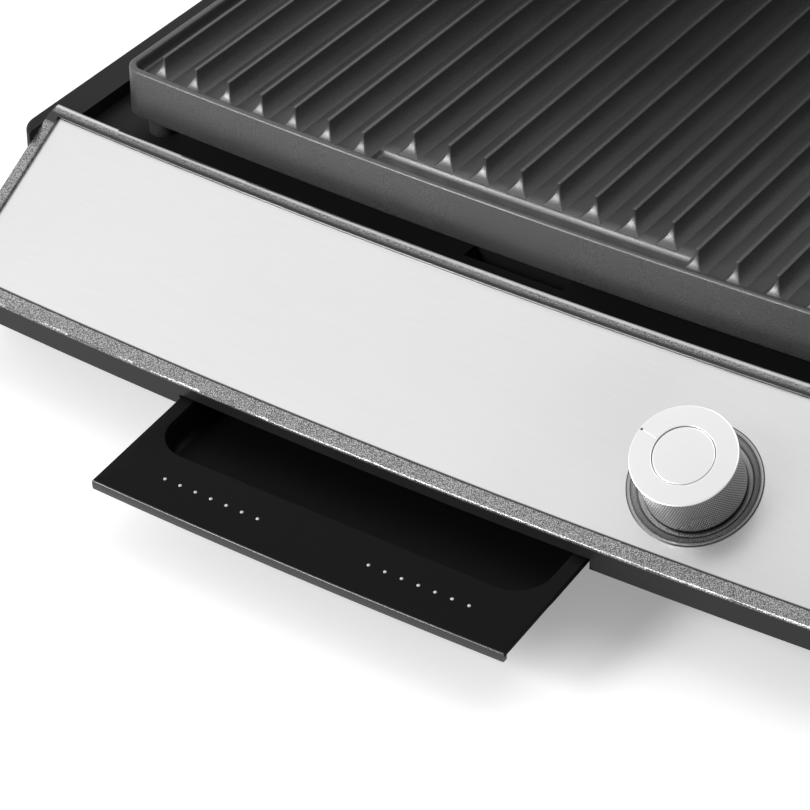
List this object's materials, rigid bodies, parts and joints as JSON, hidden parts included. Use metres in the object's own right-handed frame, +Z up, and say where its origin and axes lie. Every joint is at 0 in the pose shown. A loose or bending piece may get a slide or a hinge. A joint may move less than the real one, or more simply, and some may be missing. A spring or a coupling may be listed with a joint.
{
  "type": "contact grill",
  "caption": "Countertop contact grill: ribbed plates, self-levelling hinged lid on handled arms, sloped steel console with one knob and a pull-out drip tray.",
  "frame": {"origin": "on the table, under the middle of the outline of the open grill with its tray pulled out", "axes": "+X to the right of a person at the front, +Y to the back, +Z up; symmetric about X=0 apart from the knob and the latches"},
  "size_m": [0.392, 0.4744, 0.381],
  "materials": {
    "speckled_grey": "fine speckled charcoal enamel, satin",
    "steel_sheet": "fine brushed stainless steel, satin",
    "body_black": "fine-grained black moulding",
    "tray_black": "smooth black moulding, semi-matt",
    "non_stick": "cast aluminium with dark speckled non-stick coating",
    "knob_alu": "turned and satin-anodised aluminium",
    "knob_knurl": "finely knurled aluminium",
    "dish_metal": "dark anodised, polished aluminium",
    "arm_metal": "die-cast arm in the same speckled charcoal enamel",
    "bright_steel": "polished steel tube",
    "zinc_steel": "plain zinc-plated steel",
    "mirror_sheet": "aluminised reflector sheet",
    "sheath": "heat-darkened steel sheath",
    "grip_black": "heat-proof black grip",
    "rubber": "black rubber",
    "button_black": "glossy black button",
    "light_ceramic": "pale phenolic moulding",
    "wire_sleeve": "heat-proof braided sleeve",
    "spring_steel": "spring steel strip"
  },
  "bodies": {
    "base": {"front_bezel": "speckled_grey", "front_panel": "steel_sheet", "knob_dish": "dish_metal", "base_pan": "body_black", "base_deck": "body_black", "rubber_feet": "rubber", "pan_screws": "zinc_steel", "tray_rails": "body_black", "cord_gland": "tray_black", "terminal_block": "light_ceramic", "base_wiring": "wire_sleeve", "thermostat_body": "light_ceramic", "thermostat_bracket": "zinc_steel", "thermostat_nut": "zinc_steel", "thermal_cutout": "zinc_steel", "lower_plate": "non_stick", "lower_element": "sheath", "lower_element_clips": "zinc_steel", "lower_reflector": "mirror_sheet", "lower_latch_spring": "spring_steel", "hinge_brackets": "zinc_steel", "bracket_screws": "zinc_steel", "hinge_pins": "zinc_steel", "hinge_washers": "zinc_steel"},
    "knob": {"knob_skirt": "knob_knurl", "knob_cap": "knob_alu", "knob_inset": "knob_alu", "thermostat_spindle": "zinc_steel"},
    "tray": {"drip_tray": "tray_black"},
    "arms": {"right_arm": "arm_metal", "left_arm": "arm_metal", "handle_bar": "bright_steel", "handle_grip": "grip_black", "arm_end_caps": "tray_black"},
    "lid": {"lid_carrier": "body_black", "lid_shell": "speckled_grey", "lid_top_panel": "steel_sheet", "lid_screws": "zinc_steel", "lid_pivot_studs": "bright_steel", "upper_plate": "non_stick", "upper_element": "sheath", "upper_element_clips": "zinc_steel", "upper_reflector": "mirror_sheet", "upper_latch_spring": "spring_steel"},
    "lower_release": {"lower_latch": "button_black"},
    "upper_release": {"upper_latch": "button_black"}
  },
  "joints": [
    {"name": "lid_hinge", "type": "hinge", "parent": "base", "child": "arms", "pos_m": [0, 0.13348, 0.096], "axis": [-1, 0, 0], "range_deg": [-100, 0]},
    {"name": "lid_level", "type": "hinge", "parent": "arms", "child": "lid", "pos_m": [0, 0.16584, 0.21621], "axis": [1, 0, 0], "range_deg": [0, 12]},
    {"name": "tray_slide", "type": "slide", "parent": "base", "child": "tray", "axis": [0, -0.9972, -0.0748], "range_m": [-0.0507, 0.06]},
    {"name": "knob_turn", "type": "hinge", "parent": "base", "child": "knob", "pos_m": [0.10238, -0.1557, 0.0497], "axis": [0.0177, -0.4921, 0.8704], "range_deg": [-270, 0]},
    {"name": "lower_release_press", "type": "slide", "parent": "base", "child": "lower_release", "axis": [1, 0, 0], "range_m": [0, 0.003], "stiffness_N_per_m": 500, "deforming": ["lower_latch_spring"]},
    {"name": "upper_release_press", "type": "slide", "parent": "lid", "child": "upper_release", "axis": [0, -0.1736, -0.9848], "range_m": [0, 0.003], "stiffness_N_per_m": 500, "deforming": ["upper_latch_spring"]}
  ]
}
